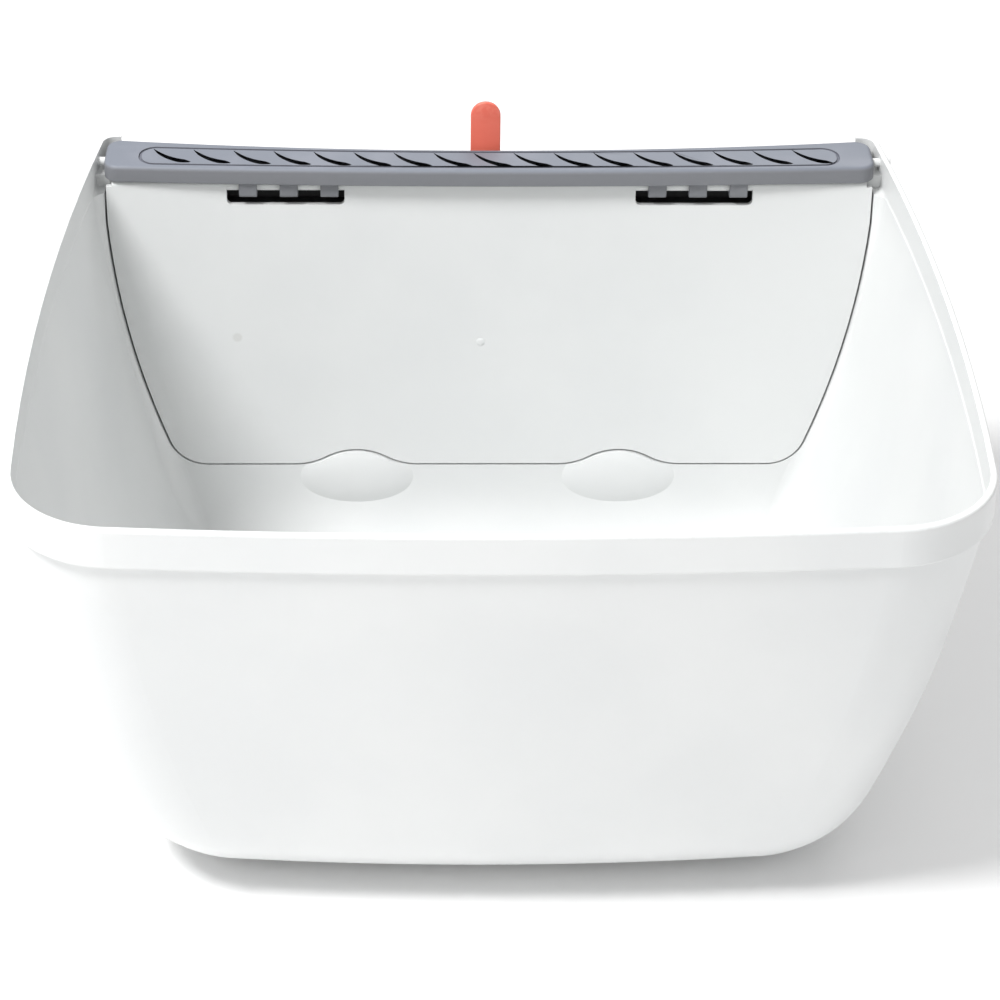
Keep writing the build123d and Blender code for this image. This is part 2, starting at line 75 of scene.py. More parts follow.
lamps = {
    "keySoftbox": {"place": (-1.05, -0.62, 2.1), "aim": (0.0, 0.05, 0.08), "size": 0.7, "power": 52.0},
    "fillSoftbox": {"place": (-1.3, -1.9, 0.7), "aim": (-0.1, 0.0, 0.1), "size": 1.2, "power": 3.0},
    "rearSoftbox": {"place": (0.5, 1.6, 1.6), "aim": (0.0, 0.1, 0.15), "size": 1.2, "power": 10.0},
}
skyLight = {"colour": (1.0, 1.0, 1.0, 1.0), "strength": 0.56}


def placeLights():
    for name, lamp in lamps.items():
        data = bpy.data.lights.new(name, "AREA")
        data.shape, data.size, data.energy = "DISK", lamp["size"], lamp["power"]
        light = bpy.data.objects.new(name, data)
        place = Vector(lamp["place"])
        turn = (place - Vector(lamp["aim"])).to_track_quat("Z", "Y")
        light.matrix_world = Matrix.Translation(place) @ turn.to_matrix().to_4x4()
        bpy.context.scene.collection.objects.link(light)
    world = bpy.data.worlds.new("studioSky")
    world.use_nodes = True
    background = world.node_tree.nodes["Background"]
    background.inputs["Color"].default_value = skyLight["colour"]
    background.inputs["Strength"].default_value = skyLight["strength"]
    bpy.context.scene.world = world
    bpy.context.scene.view_settings.view_transform = "Standard"


placeCamera()
placeLights()
print("camera and lights placed")


class Wire:
    # a shader socket that can be used in sums
    def __init__(self, finish, socket):
        self.finish, self.socket = finish, socket

    def maths(self, operation, *values):
        return self.finish.wire("ShaderNodeMath", {"operation": operation}, dict(enumerate(values)))

    def __add__(self, other):
        return self.maths("ADD", self, other)

    def __sub__(self, other):
        return self.maths("SUBTRACT", self, other)

    def __rsub__(self, other):
        return self.maths("SUBTRACT", other, self)

    def __mul__(self, other):
        return self.maths("MULTIPLY", self, other)

    def __abs__(self):
        return self.maths("ABSOLUTE", self)

    __radd__, __rmul__ = __add__, __mul__

    def between(self, low, high):
        # 0 below low, 1 above high, smooth in the middle
        inputs = {"Value": self, "From Min": low, "From Max": high}
        return self.finish.wire("ShaderNodeMapRange", {"interpolation_type": "SMOOTHSTEP"}, inputs)

    def within(self, low, high, soft):
        return self.between(low - soft, low) * (1 - self.between(high, high + soft))


def socketOf(sockets, key):
    # by place, else by identifier, else by name
    if isinstance(key, int):
        return sockets[key]
    return next((socket for socket in sockets if socket.identifier == key), None) or sockets[key]


class Finish:
    # a Principled material with wires for the place on the piece
    def __init__(self, name, **constants):
        self.material = bpy.data.materials.new(name)
        self.material.use_nodes = True
        self.tree = self.material.node_tree
        self.tree.nodes.clear()
        output = self.add("ShaderNodeOutputMaterial")
        self.shader = self.add("ShaderNodeBsdfPrincipled")
        self.tree.links.new(self.shader.outputs["BSDF"], output.inputs["Surface"])
        for key, value in constants.items():
            self.shader.inputs[key].default_value = value
        self.place = self.wire("ShaderNodeTexCoord", {}, {}, "Object")
        parts = self.add("ShaderNodeSeparateXYZ", {}, {"Vector": self.place})
        self.x, self.y, self.z = (Wire(self, socket) for socket in parts.outputs)
        facing = self.wire("ShaderNodeNewGeometry", {}, {}, "Normal")
        self.facingUp = self.wire("ShaderNodeSeparateXYZ", {}, {"Vector": facing}, "Z")

    def add(self, kind, settings=None, inputs=None):
        node = self.tree.nodes.new(kind)
        for key, value in (settings or {}).items():
            setattr(node, key, value)
        for key, value in (inputs or {}).items():
            socket = socketOf(node.inputs, key)
            if isinstance(value, Wire):
                self.tree.links.new(value.socket, socket)
            else:
                socket.default_value = value
        return node

    def wire(self, kind, settings, inputs, output=0):
        return Wire(self, socketOf(self.add(kind, settings, inputs).outputs, output))

    def stretched(self, amounts):
        return self.wire("ShaderNodeMapping", {}, {"Vector": self.place, "Scale": amounts})

    def noise(self, scale, detail=2.0, rough=0.5, along=None):
        inputs = {"Vector": along or self.place, "Scale": scale, "Detail": detail, "Roughness": rough}
        return self.wire("ShaderNodeTexNoise", {}, inputs, "Fac")

    def blend(self, share, first, second):
        inputs = {"Factor_Float": share, "A_Color": first, "B_Color": second}
        return self.wire("ShaderNodeMix", {"data_type": "RGBA"}, inputs, "Result_Color")

    def bump(self, height, depth, strength=1.0, under=None):
        inputs = {"Height": height, "Distance": depth, "Strength": strength}
        if under:
            inputs["Normal"] = under
        return self.wire("ShaderNodeBump", {}, inputs)

    def give(self, **values):
        for key, value in values.items():
            self.tree.links.new(value.socket, self.shader.inputs[key.replace("_", " ")])
        return self.material


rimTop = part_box("tub")[1].z
shellPaint = {
    "white": (0.765, 0.775, 0.772, 1.0), "shade": (0.735, 0.747, 0.747, 1.0),
    "scuff": (0.60, 0.60, 0.58, 1.0), "scuffShare": 0.55,
    "cloud": 11.0, "grain": 1500.0, "grainDepth": 0.00006,
    "scratch": 420.0, "scratchStretch": (0.2, 1.0, 0.35), "scratchSpread": (0.63, 0.74),
    "scratchDepth": 0.00003,
    "floorBand": (0.001, 0.012), "floorWear": 160.0, "floorSpread": (0.42, 0.6),
    "rimBand": (rimTop - 0.0008, rimTop + 0.0005), "rimSoft": 0.0007,
    "rimWear": 240.0, "rimSpread": (0.5, 0.66),
    "pinX": -0.1218, "pinZ": 0.1248, "pinRadius": 0.0030, "pinShare": 0.5,
    "roughness": 0.34, "cloudSheen": 0.10, "rubbedSheen": 0.18, "scratchSheen": 0.05,
}


def shellFinish(name, floorWear, rimWear, pinMark=0.0):
    # white moulding: scuffed at the floor and rim, with the round mark of an ejector pin
    s, f = shellPaint, Finish(name, IOR=1.49)
    cloud = f.noise(s["cloud"], 3.0)
    grain = f.noise(s["grain"], 2.0)
    scratches = f.noise(s["scratch"], 3.0, 0.6, f.stretched(s["scratchStretch"])).between(*s["scratchSpread"])
    nearFloor = (1 - f.z.between(*s["floorBand"])) * floorWear
    alongRim = f.z.within(*s["rimBand"], s["rimSoft"]) * rimWear
    rubbed = nearFloor * f.noise(s["floorWear"], 4.0).between(*s["floorSpread"])
    rubbed = rubbed + alongRim * f.noise(s["rimWear"], 3.0).between(*s["rimSpread"])
    tone = f.blend(cloud.between(0.35, 0.7), s["white"], s["shade"])
    tone = f.blend(rubbed * s["scuffShare"], tone, s["scuff"])
    flat = f.wire("ShaderNodeCombineXYZ", {}, {"X": f.x, "Z": f.z})
    pin = {0: flat, 1: (s["pinX"], 0.0, s["pinZ"])}
    fromPin = f.wire("ShaderNodeVectorMath", {"operation": "DISTANCE"}, pin, "Value")
    marked = (1 - fromPin.between(s["pinRadius"] / 2, s["pinRadius"])) * pinMark
    tone = f.blend(marked * s["pinShare"], tone, s["scuff"])
    sheen = s["roughness"] + s["cloudSheen"] * cloud + s["rubbedSheen"] * rubbed
    sheen = sheen + s["scratchSheen"] * scratches
    relief = f.bump(grain, s["grainDepth"], 0.35)
    relief = f.bump(scratches, s["scratchDepth"], 0.25, relief)
    return f.give(Base_Color=tone, Roughness=sheen, Normal=relief)


# y is given at the middle of the bar, and sag is how much further back it is at the bar's ends
gripBar = {
    "half": 0.182, "height": 0.0084, "frontY": 0.134, "frontSag": 0.0045, "backY": 0.157, "backSag": 0.0105,
    "corner": 0.007, "edge": 0.0022, "edgeSteps": 5, "footEdge": 0.0006, "midY": 0.1459, "midSag": 0.0056,
    "trackHalf": 0.166, "trackFrontY": 0.1374, "trackFrontSag": 0.0037, "trackBackY": 0.1544,
    "trackBackSag": 0.0058, "trackCorner": 0.0082,
    "lineWidth": 0.0016, "lineDepth": 0.0008, "lineDraft": 0.0001,
}
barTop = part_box("grip_bar")[1].z
# top and side are painted light: one grey, lit where faces look up and shaded on the sides
gripPaint = {
    # groove is painted shade for the insides of the grooves
    "top": (0.205, 0.222, 0.262, 1.0), "worn": (0.30, 0.31, 0.355, 1.0), "groove": (0.14, 0.145, 0.18, 1.0),
    "side": (0.20, 0.205, 0.222, 1.0), "wornShare": 0.35, "grooveShadeShare": 0.8,
    "trackAcross": (0.0086, 0.0092), "trackAlong": (0.1664, 0.1675),
    "grooveTop": (barTop - 0.00035, barTop - 0.00008), "grooveFloor": (barTop - 0.003, barTop - 0.0025),
    "grain": 2600.0, "grainDepth": 0.00008, "wear": 34.0, "wearSpread": (0.45, 0.72),
}


def gripFinish():
    # grey grip with painted shade inside the grooves and a painted lit top over shaded sides, paler where
    # hands rub its top
    g, f = gripPaint, Finish("greyGrip", IOR=1.5)
    wear = f.noise(g["wear"], 4.0).between(*g["wearSpread"]) * f.facingUp.between(0.75, 0.98)
    middle = gripBar["midY"] + gripBar["midSag"] / gripBar["half"] ** 2 * (f.x * f.x)
    inTrack = (1 - abs(f.y - middle).between(*g["trackAcross"])) * (1 - abs(f.x).between(*g["trackAlong"]))
    # painted shade: darkens the grooves below the bar's top; the same mask also makes them rougher
    shadedGrooves = inTrack * (1 - f.z.between(*g["grooveTop"])) * f.z.between(*g["grooveFloor"])
    # painted light: faces that look up get the lit top tone, the sides the shaded side tone
    tone = f.blend(f.facingUp.between(0.2, 0.9), g["side"], g["top"])
    tone = f.blend(wear * g["wornShare"], tone, g["worn"])
    tone = f.blend(shadedGrooves * g["grooveShadeShare"], tone, g["groove"])
    sheen = 0.46 + 0.12 * f.noise(60.0, 3.0) + 0.10 * shadedGrooves
    relief = f.bump(f.noise(g["grain"]), g["grainDepth"], 0.5)
    return f.give(Base_Color=tone, Roughness=sheen, Normal=relief)


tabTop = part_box("release_tab")[1].z
tabPaint = {
    "orange": (0.88, 0.19, 0.13, 1.0), "worn": (0.90, 0.27, 0.20, 1.0), "deep": (0.80, 0.15, 0.10, 1.0),
    "thumbBand": (tabTop - 0.014, tabTop), "grain": 2400.0, "grainDepth": 0.00006,
}


def tabFinish():
    # orange tab, paler where the thumb presses
    f = Finish("orangeTab", IOR=1.49)
    rubbed = f.z.between(*tabPaint["thumbBand"]) * f.noise(300.0, 3.0).between(0.4, 0.65)
    tone = f.blend(f.noise(45.0, 3.0).between(0.35, 0.7), tabPaint["orange"], tabPaint["deep"])
    tone = f.blend(rubbed * 0.5, tone, tabPaint["worn"])
    sheen = 0.40 + 0.12 * f.noise(120.0, 2.0) - 0.08 * rubbed
    relief = f.bump(f.noise(tabPaint["grain"]), tabPaint["grainDepth"], 0.4)
    return f.give(Base_Color=tone, Roughness=sheen, Normal=relief)


def darkFinish(name, colour, roughness, grain, grainDepth):
    # dark plastic or rubber with dust on what faces up
    f = Finish(name, IOR=1.5)
    dust = f.noise(70.0, 4.0).between(0.5, 0.75) * f.facingUp.between(0.2, 0.9)
    paler = tuple(min(1.0, channel * 1.7 + 0.03) for channel in colour) + (1.0,)
    tone = f.blend(dust * 0.6, colour + (1.0,), paler)
    sheen = roughness + 0.12 * f.noise(140.0, 3.0)
    return f.give(Base_Color=tone, Roughness=sheen, Normal=f.bump(f.noise(grain), grainDepth, 0.5))


def steelFinish(name, colour, roughness, streak):
    # drawn steel with a few dull spots
    f = Finish(name)
    drawn = f.noise(900.0, 3.0, 0.6, f.stretched(streak))
    spots = f.noise(260.0, 4.0, 0.6).between(0.62, 0.74)
    darker = tuple(channel * 0.55 for channel in colour) + (1.0,)
    tone = f.blend(drawn * 0.5 + spots * 0.4, colour + (1.0,), darker)
    metal = 1 - spots * 0.35
    sheen = roughness + 0.18 * drawn + 0.2 * spots
    return f.give(Base_Color=tone, Roughness=sheen, Metallic=metal, Normal=f.bump(drawn, 0.00003, 0.4))


coverPaint = {"colour": (0.008, 0.008, 0.009), "roughness": 0.5, "grain": 1800.0, "grainDepth": 0.00005}
padPaint = {"colour": (0.03, 0.03, 0.032), "roughness": 0.72, "grain": 1200.0, "grainDepth": 0.0001}
stripPaint = {"colour": (0.58, 0.58, 0.60), "roughness": 0.28, "streak": (0.05, 1.0, 1.0)}
screwPaint = {"colour": (0.66, 0.67, 0.70), "roughness": 0.24, "streak": (1.0, 1.0, 1.0)}
springPaint = {"colour": (0.50, 0.50, 0.52), "roughness": 0.22, "streak": (0.3, 1.0, 1.0)}

finishes = {
    "white_shell": shellFinish("whiteShell", floorWear=1.0, rimWear=0.3),
    "grey_grip": gripFinish(),
    "orange_tab": tabFinish(),
    "black_cover": darkFinish("blackCover", **coverPaint),
    "steel_strip": steelFinish("steelStrip", **stripPaint),
    "steel_fastener": steelFinish("zincScrews", **screwPaint),
    "spring_steel": steelFinish("springSteel", **springPaint),
    "soft_pad": darkFinish("softPad", **padPaint),
    "bolt_plastic": shellFinish("boltPlastic", floorWear=0.0, rimWear=0.0),
}
for entry in frame["record"]["subparts"]:
    mesh = nodes[entry["node"]].data
    mesh.materials.clear()
    mesh.materials.append(finishes[entry["material_slot"]])
panelShell = shellFinish("panelShell", floorWear=0.0, rimWear=0.0, pinMark=1.0)
nodes["back_panel"].data.materials[0] = panelShell


class Tree:
    # a Geometry Nodes tree with named inputs
    kinds = {
        float: "NodeSocketFloat", int: "NodeSocketInt", tuple: "NodeSocketVector",
        bpy.types.Object: "NodeSocketObject", bpy.types.Material: "NodeSocketMaterial",
    }

    def __init__(self, name, **values):
        self.group = bpy.data.node_groups.new(name, "GeometryNodeTree")
        face = self.group.interface
        face.new_socket("Geometry", in_out="INPUT", socket_type="NodeSocketGeometry")
        face.new_socket("Geometry", in_out="OUTPUT", socket_type="NodeSocketGeometry")
        self.values = {}
        for key, value in values.items():
            socket = face.new_socket(key, in_out="INPUT", socket_type=self.kinds[type(value)])
            self.values[socket.identifier] = value
        self.start = self.group.nodes.new("NodeGroupInput")
        self.end = self.group.nodes.new("NodeGroupOutput")

    def given(self, name):
        return self.start.outputs[name]

    def add(self, kind, settings=None, inputs=None, output=0):
        node = self.group.nodes.new(kind)
        for key, value in (settings or {}).items():
            setattr(node, key, value)
        for key, value in (inputs or {}).items():
            for one in value if isinstance(value, list) else [value]:
                if isinstance(one, bpy.types.NodeSocket):
                    self.group.links.new(one, socketOf(node.inputs, key))
                else:
                    socketOf(node.inputs, key).default_value = one
        return socketOf(node.outputs, output)

    def finishWith(self, geometry):
        real = self.add("GeometryNodeRealizeInstances", {}, {"Geometry": geometry})
        painted = self.add("GeometryNodeSetMaterial", {}, {"Geometry": real, "Material": self.given("finish")})
        self.group.links.new(painted, self.end.inputs[0])

    def makePiece(self, name, base):
        # runs the tree on a mesh and returns a plain mesh object
        maker = showMesh(name + "Maker", base)
        modifier = maker.modifiers.new("nodes", "NODES")
        modifier.node_group = self.group
        for identifier, value in self.values.items():
            modifier[identifier] = value
        return showMesh(name, asSeen(maker))


def showMesh(name, mesh):
    mesh.name = name
    piece = bpy.data.objects.new(name, mesh)
    bpy.context.scene.collection.objects.link(piece)
    return piece


def asSeen(maker):
    # plain mesh of an object with its modifiers applied, and the object is dropped
    bpy.context.view_layer.update()
    seen = maker.evaluated_get(bpy.context.evaluated_depsgraph_get())
    mesh = bpy.data.meshes.new_from_object(seen)
    dropHelpers(maker)
    return mesh


def dropHelpers(*helpers):
    for helper in helpers:
        bpy.data.objects.remove(helper)


def meshOf(name, shape):
    bmesh.ops.recalc_face_normals(shape, faces=shape.faces)
    mesh = bpy.data.meshes.new(name)
    shape.to_mesh(mesh)
    shape.free()
    return mesh


def settle(piece, body, slotName, *cadNodes, smoothAngle=32.0):
    piece.data.shade_smooth()
    piece.data.set_sharp_from_angle(angle=radians(smoothAngle))
    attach(piece, body)
    if cadNodes:
        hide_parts(*cadNodes)


def stackLoops(name, loops, closeUp=True):
    # skin over loops of points that all have the same count
    shape = bmesh.new()
    rings = [[shape.verts.new(point) for point in loop] for loop in loops]
    count = len(rings[0])
    for low, high in zip(rings, rings[1:]):
        for i in range(count):
            after = (i + 1) % count
            shape.faces.new((low[i], low[after], high[after], high[i]))
    if closeUp:
        shape.faces.new(rings[0][::-1])
        shape.faces.new(rings[-1])
    return meshOf(name, shape)


def makeRow(name, places, turn, form, finish):
    # one instance of a form at each place
    points = bpy.data.meshes.new(name + "Places")
    points.from_pydata(places, [], [])
    tree = Tree(name + "Row", form=form, turn=turn, finish=finish)
    shape = tree.add("GeometryNodeObjectInfo", {}, {"Object": tree.given("form")}, "Geometry")
    row = tree.add("GeometryNodeInstanceOnPoints", {}, {
        "Points": tree.given("Geometry"), "Instance": shape, "Rotation": tree.given("turn")})
    tree.finishWith(row)
    return tree.makePiece(name, points)


def barOutline(half, frontY, frontSag, backY, backSag, corner, inset=0.0, steps=7, runs=40):
    # plan of the bar or its track, bowed forwards in the middle
    def lineY(y, sag, x):
        return y + sag * (x / gripBar["half"]) ** 2

    reach, radius = half - corner, corner - inset
    along = [-reach + 2 * reach * i / runs for i in range(runs + 1)]
    points = [(x, lineY(frontY, frontSag, x) + inset) for x in along]
    for side in (1, -1):
        x = side * reach
        low, high = lineY(frontY, frontSag, x) + corner, lineY(backY, backSag, x) - corner
        turns = [pi / 2 * i / steps for i in range(1, steps)]
        front = [(x + side * radius * sin(t), low - radius * cos(t)) for t in turns]
        rear = [(x + side * radius * cos(t), high + radius * sin(t)) for t in turns]
        end = front + [(x + side * radius, low), (x + side * radius, high)] + rear
        if side > 0:
            points += end + [(x, lineY(backY, backSag, x) - inset) for x in along[::-1]]
        else:
            points += end[::-1]
    return points


def barBlank():
    # the bar before it is carved, with a rounded upper edge
    low, edge, steps = barTop - gripBar["height"], gripBar["edge"], gripBar["edgeSteps"]
    sizes = [gripBar[key] for key in ("half", "frontY", "frontSag", "backY", "backSag", "corner")]
    levels = [(low, gripBar["footEdge"]), (low + gripBar["footEdge"], 0.0)]
    for i in range(steps + 1):
        turn = pi / 2 * i / steps
        levels.append((barTop - edge + edge * sin(turn), edge * (1 - cos(turn))))
    loops = [[(x, y, z) for x, y in barOutline(*sizes, inset=inset)] for z, inset in levels]
    return stackLoops("barBlank", loops)


def trackCutter():
    # ring that cuts the fine line round the grooves
    keys = ("trackHalf", "trackFrontY", "trackFrontSag", "trackBackY", "trackBackSag", "trackCorner")
    sizes = [gripBar[key] for key in keys]
    width, draft = gripBar["lineWidth"], gripBar["lineDraft"]
    above, floor = barTop + 0.001, barTop - gripBar["lineDepth"]
    rings = []
    for z, inset in ((above, 0.0), (floor, draft), (floor, width - draft), (above, width)):
        rings.append([(x, y, z) for x, y in barOutline(*sizes, inset=inset)])
    return stackLoops("trackCutter", rings + [rings[0]], closeUp=False)


grooves = {
    "count": 17, "pitch": 0.01895, "shift": 0.0012, "reach": 0.0112, "lean": -37.0, "curve": 0.0026,
    "thin": 0.0006, "thick": 0.0022, "shallow": 0.0003, "deep": 0.0012, "above": 0.0008, "steps": 12,
}


def grooveCutter():
    # curved groove that grows wider and deeper towards the bar's front, with round ends
    shape = bmesh.new()
    rows = []
    steps, above = grooves["steps"], grooves["above"]
    tilt = Matrix.Rotation(radians(grooves["lean"]), 3, "Z")
    for i in range(steps + 1):
        t = i / steps
        along = (2 * t - 1) * grooves["reach"]
        bend = -grooves["curve"] * (1 - (2 * t - 1) ** 2)
        tip = min(1.0, 0.25 + 4.0 * t, 0.25 + 5.0 * (1 - t))  # narrows both ends
        half = tip * (grooves["thin"] + (grooves["thick"] - grooves["thin"]) * t)
        depth = tip * (grooves["shallow"] + (grooves["deep"] - grooves["shallow"]) * t)
        ring = [
            (half, above), (half, 0.0), (0.62 * half, -0.8 * depth), (0, -depth),
            (-0.62 * half, -0.8 * depth), (-half, 0.0), (-half, above),
        ]
        rows.append([shape.verts.new(tilt @ Vector((along, bend + across, z))) for across, z in ring])
    for near, far in zip(rows, rows[1:]):
        for k in range(len(near)):
            after = (k + 1) % len(near)
            shape.faces.new((near[k], far[k], far[after], near[after]))
    shape.faces.new(rows[0])
    shape.faces.new(rows[-1][::-1])
    return meshOf("grooveCutter", shape)


def makeGripBar():
    cutter = showMesh("grooveCutter", grooveCutter())
    track = showMesh("trackCutter", trackCutter())
    count, pitch = grooves["count"], grooves["pitch"]
    tree = Tree(
        "gripGrooves", count=count, step=(pitch, 0.0, 0.0), cutter=cutter, track=track,
        start=(-pitch * (count - 1) / 2 + grooves["shift"], gripBar["midY"], barTop),
        sag=gripBar["midSag"] / gripBar["half"] ** 2, finish=finishes["grey_grip"],
    )
    row = tree.add("GeometryNodeMeshLine", {"mode": "OFFSET"}, {
        "Count": tree.given("count"), "Start Location": tree.given("start"), "Offset": tree.given("step")})
    place = tree.add("GeometryNodeInputPosition")
    x = tree.add("ShaderNodeSeparateXYZ", {}, {"Vector": place}, "X")
    squared = tree.add("ShaderNodeMath", {"operation": "MULTIPLY"}, {0: x, 1: x})
    bow = tree.add("ShaderNodeMath", {"operation": "MULTIPLY"}, {0: squared, 1: tree.given("sag")})
    offset = tree.add("ShaderNodeCombineXYZ", {}, {"Y": bow})
    row = tree.add("GeometryNodeSetPosition", {}, {"Geometry": row, "Offset": offset})
    groove = tree.add("GeometryNodeObjectInfo", {}, {"Object": tree.given("cutter")}, "Geometry")
    ring = tree.add("GeometryNodeObjectInfo", {}, {"Object": tree.given("track")}, "Geometry")
    cuts = tree.add("GeometryNodeInstanceOnPoints", {}, {"Points": row, "Instance": groove})
    cuts = tree.add("GeometryNodeRealizeInstances", {}, {"Geometry": cuts})
    both = tree.add("GeometryNodeJoinGeometry", {}, {"Geometry": [cuts, ring]})
    carved = tree.add("GeometryNodeMeshBoolean", {"operation": "DIFFERENCE"}, {
        "Mesh 1": tree.given("Geometry"), "Mesh 2": both})
    tree.finishWith(carved)
    piece = tree.makePiece("gripBarShell", barBlank())
    dropHelpers(cutter, track)
    settle(piece, "tub_body", "grey_grip", "grip_bar")


# two groups of three, and shift moves them all to one side
hooks = {
    "width": 0.0085, "pitch": 0.0192, "groupX": 0.0967, "shift": 0.0016, "frontY": 0.13699,
    "leg": 0.002, "reach": 0.008, "barb": 0.0016, "edge": 0.0005, "rootInBar": 0.002,
}


def makeHooks():
    # the hooks under the bar that carry the panel's rod
    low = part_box("grip_bar")[0].z
    root = barTop - gripBar["height"] + hooks["rootInBar"]
    front, leg, edge = hooks["frontY"], hooks["leg"], 2 * hooks["edge"]
    tip, barb = front + hooks["reach"], low + hooks["barb"]
    outline = [
        (front, root), (front, low + edge), (front + edge, low), (tip - edge, low),
        (tip, low + edge), (tip, barb), (front + leg, barb), (front + leg, root),
    ]
    sides = [-hooks["width"] / 2, hooks["width"] / 2]
    mesh = stackLoops("hookForm", [[(x, y, z) for y, z in outline] for x in sides])
    shape = bmesh.new()
    shape.from_mesh(mesh)
    bmesh.ops.bevel(shape, geom=shape.edges[:], offset=hooks["edge"] / 2, segments=2, affect="EDGES")
    form = showMesh("hookForm", meshOf("hookForm", shape))
    places = [(side * hooks["groupX"] + hooks["shift"] + i * hooks["pitch"], 0, 0)
              for side in (-1, 1) for i in (-1, 0, 1)]
    row = makeRow("gripHooks", places, (0.0, 0.0, 0.0), form, finishes["grey_grip"])
    dropHelpers(form)
    settle(row, "tub_body", "grey_grip", "grip_bar")


# dome gives heights below the head's top, with the share of the head's radius there
screw = {
    "headRadius": 0.0028, "headHeight": 0.0018, "underHead": 0.0001, "sides": 24,
    "dome": [(0.0016, 1.0), (0.0010, 0.97), (0.0005, 0.86), (0.00018, 0.66), (0.0, 0.40)],
    "shankRadius": 0.0014, "rootRadius": 0.00112, "pitch": 0.0011, "tipLength": 0.0007, "tipShare": 0.4,
    "recess": 0.0017, "recessWidth": 0.00042, "recessDepth": 0.0010,
    "recessTaper": 0.55, "recessAbove": 0.0006,
    "apart": 0.002,
}


def screwForm(length):
    # head top at zero, shank down to -length
    sides, head, shank, root = screw["sides"], screw["headRadius"], screw["shankRadius"], screw["rootRadius"]
    under, pitch = -screw["headHeight"], screw["pitch"]
    height = screw["tipLength"] - length
    levels = [(-length, screw["tipShare"] * shank), (height, root)]
    while height < under - pitch:
        levels += [(height + pitch / 2, shank), (height + pitch, root)]
        height += pitch
    levels += [(under, root), (under, head - screw["underHead"])]
    levels += [(-below, head * share) for below, share in screw["dome"]]
    turns = [2 * pi * i / sides for i in range(sides)]
    loops = [[(radius * cos(t), radius * sin(t), z) for t in turns] for z, radius in levels]
    body = showMesh("screwForm", stackLoops("screwForm", loops))
    width, reach = screw["recessWidth"], screw["recess"]
    arms = [
        (width, width), (width, reach), (-width, reach), (-width, width), (-reach, width), (-reach, -width),
        (-width, -width), (-width, -reach), (width, -reach), (width, -width), (reach, -width), (reach, width),
    ]
    ends = ((-screw["recessDepth"], screw["recessTaper"]), (screw["recessAbove"], 1.0))
    loops = [[(x * share, y * share, z) for x, y in arms] for z, share in ends]
    cross = showMesh("crossRecess", stackLoops("crossRecess", loops))
    cut = body.modifiers.new("cross", "BOOLEAN")
    cut.operation, cut.solver, cut.object = "DIFFERENCE", "EXACT", cross
    finished = showMesh("screwCut", asSeen(body))
    dropHelpers(cross)
    return finished


def screwGroups(node):
    # vertices of each screw in a node, told apart along x
    points = sorted((v.co.copy() for v in nodes[node].data.vertices), key=lambda point: point.x)
    groups = [[points[0]]]
    for point in points[1:]:
        if point.x - groups[-1][-1].x > screw["apart"]:
            groups.append([])
        groups[-1].append(point)
    return groups


def makeScrews(node, name, body, outward):
    # all the screws of a node have the same length
    outward = Vector(outward).normalized()
    places = []
    for group in screwGroups(node):
        reach = [point.dot(outward) for point in group]
        low = Vector(min(point[k] for point in group) for k in range(3))
        high = Vector(max(point[k] for point in group) for k in range(3))
        middle = (low + high) / 2
        places.append(middle + outward * (max(reach) - middle.dot(outward)))
        length = max(reach) - min(reach)
    form = screwForm(length)
    turn = Vector((0, 0, 1)).rotation_difference(outward).to_euler()
    piece = makeRow(name, places, tuple(turn), form, finishes["steel_fastener"])
    dropHelpers(form)
    settle(piece, body, "steel_fastener", node)


thumbTab = {"merge": 0.000002, "flatWithin": 1.0, "edge": 0.0004, "segments": 3, "edgeAngle": 40.0}


def makeThumbTab():
    # the CAD tab with its flat faces joined up and its edges softened
    shape = bmesh.new()
    shape.from_mesh(nodes["release_tab"].data)
    bmesh.ops.remove_doubles(shape, verts=shape.verts, dist=thumbTab["merge"])
    bmesh.ops.dissolve_limit(
        shape, angle_limit=radians(thumbTab["flatWithin"]), verts=shape.verts, edges=shape.edges)
    maker = showMesh("thumbTab", meshOf("thumbTab", shape))
    maker.data.materials.append(finishes["orange_tab"])
    bevel = maker.modifiers.new("softEdges", "BEVEL")
    bevel.width, bevel.segments, bevel.limit_method = thumbTab["edge"], thumbTab["segments"], "ANGLE"
    bevel.angle_limit = radians(thumbTab["edgeAngle"])
    piece = showMesh("thumbTab", asSeen(maker))
    settle(piece, "tab_body", "orange_tab", "release_tab", smoothAngle=thumbTab["edgeAngle"])


coil = {"turns": 4.5, "wire": 0.0004, "sides": 10, "resolution": 28, "smoothAngle": 60.0}


def makeCoil():
    # fills the space of the CAD spring, with its axis along x
    low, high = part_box("release_spring")
    wire = coil["wire"]
    tree = Tree(
        "springCoil", turns=coil["turns"], wire=wire, radius=(high.z - low.z) / 2 - wire,
        length=high.x - low.x - 2 * wire, turn=(0.0, pi / 2, 0.0),
        place=(low.x + wire, (low.y + high.y) / 2, (low.z + high.z) / 2), finish=finishes["spring_steel"],
    )
    spiral = tree.add("GeometryNodeCurveSpiral", {}, {
        "Resolution": coil["resolution"], "Rotations": tree.given("turns"), "Height": tree.given("length"),
        "Start Radius": tree.given("radius"), "End Radius": tree.given("radius")})
    section = tree.add("GeometryNodeCurvePrimitiveCircle", {"mode": "RADIUS"}, {
        "Resolution": coil["sides"], "Radius": tree.given("wire")})
    swept = tree.add("GeometryNodeCurveToMesh", {}, {
        "Curve": spiral, "Profile Curve": section, "Fill Caps": True})
    placed = tree.add("GeometryNodeTransform", {}, {
        "Geometry": swept, "Translation": tree.given("place"), "Rotation": tree.given("turn")})
    tree.finishWith(placed)
    piece = tree.makePiece("releaseCoil", bpy.data.meshes.new("coilBase"))
    settle(piece, "tub_body", "spring_steel", "release_spring", smoothAngle=coil["smoothAngle"])


# lean is from upright; the panel's front passes through footY at the floor and rodY at the rod's height
panel = {"lean": 4.0, "footY": 0.1251, "rodY": 0.139341, "rodZ": 0.20365}
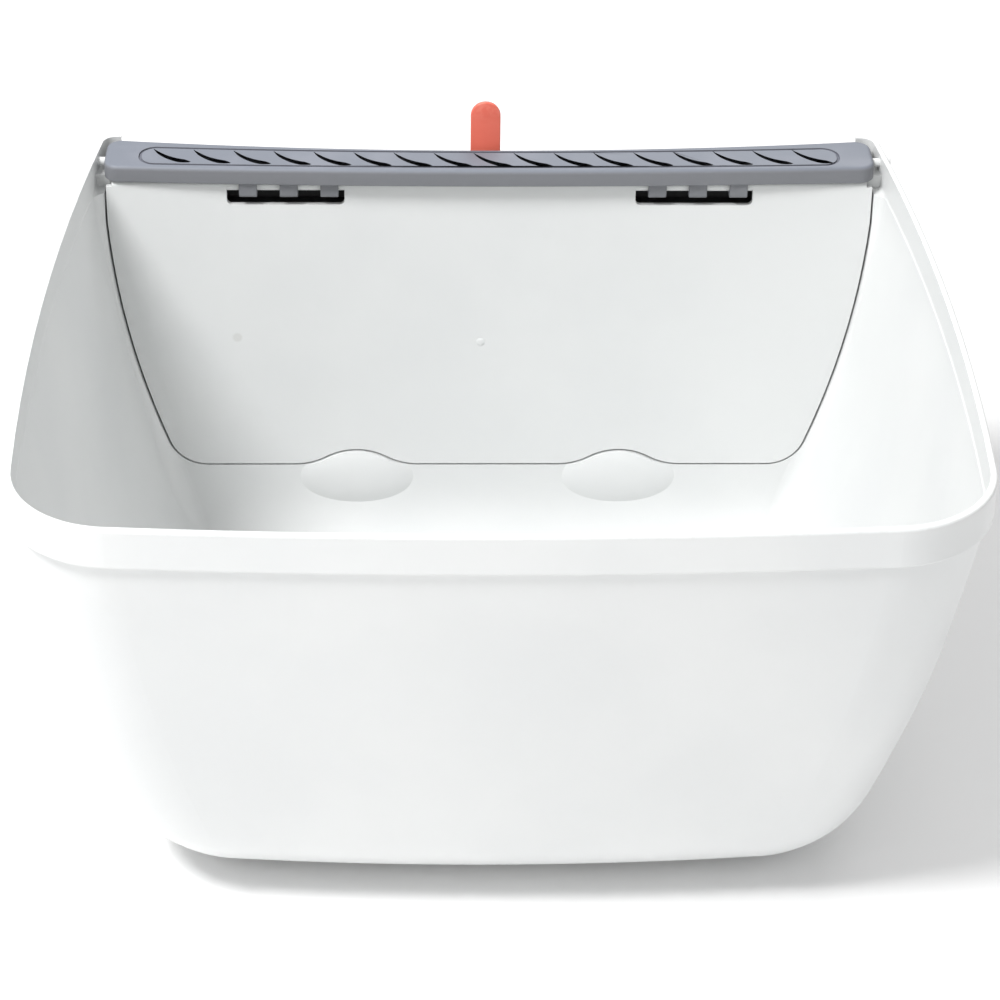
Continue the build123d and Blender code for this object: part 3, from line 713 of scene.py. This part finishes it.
# profile gives shares of the radius, with shares of the height there
gateMark = {
    "x": -0.004, "z": 0.1224, "radius": 0.0021, "height": 0.0004, "sides": 28,
    "profile": [(1.0, -0.5), (1.0, 0.1), (0.86, 0.55), (0.6, 0.85), (0.3, 1.0)],
}


def makeGateMark():
    # low round nub where the moulding gate was trimmed
    up = Vector((0, panel["rodY"] - panel["footY"], panel["rodZ"])).normalized()
    out = Vector((0, -up.z, up.y))
    front = panel["footY"] + gateMark["z"] * up.y / up.z
    centre = Vector((gateMark["x"], front, gateMark["z"]))
    turns = [2 * pi * i / gateMark["sides"] for i in range(gateMark["sides"])]
    circle = [Vector((cos(t), 0, 0)) + up * sin(t) for t in turns]
    radius, height = gateMark["radius"], gateMark["height"]
    loops = [[centre + flat * radius * share + out * height * rise for flat in circle]
             for share, rise in gateMark["profile"]]
    mesh = stackLoops("gateMark", loops)
    mesh.materials.append(panelShell)
    settle(showMesh("gateMark", mesh), "panel_body", "white_shell")


makeGripBar()
makeHooks()
print("grip bar and hooks made")
panelRear = (0, cos(radians(panel["lean"])), -sin(radians(panel["lean"])))
makeScrews("cover_screws", "coverScrewSet", "panel_body", panelRear)
makeScrews("catch_screws", "catchScrewSet", "panel_body", panelRear)
makeScrews("bracket_screws", "bracketScrewSet", "tub_body", (0, -1, 0))
print("screws made")
makeThumbTab()
makeCoil()
makeGateMark()
print("release tab, coil and gate mark made")

floorPaint = {
    "pale": (0.93, 0.93, 0.93, 1.0), "paler": (0.95, 0.95, 0.95, 1.0), "roughness": 0.85, "cloud": 3.0,
    "size": 6.0, "drop": 0.0002,
}


def layFloor():
    f = Finish("paleFloor", Roughness=floorPaint["roughness"])
    f.give(Base_Color=f.blend(f.noise(floorPaint["cloud"]), floorPaint["pale"], floorPaint["paler"]))
    shape = bmesh.new()
    bmesh.ops.create_grid(shape, x_segments=1, y_segments=1, size=floorPaint["size"])
    mesh = bpy.data.meshes.new("paleFloor")
    shape.to_mesh(mesh)
    shape.free()
    mesh.transform(Matrix.Translation((0, 0, -floorPaint["drop"])))
    mesh.materials.append(f.material)
    showMesh("paleFloor", mesh)


layFloor()
print("floor laid")
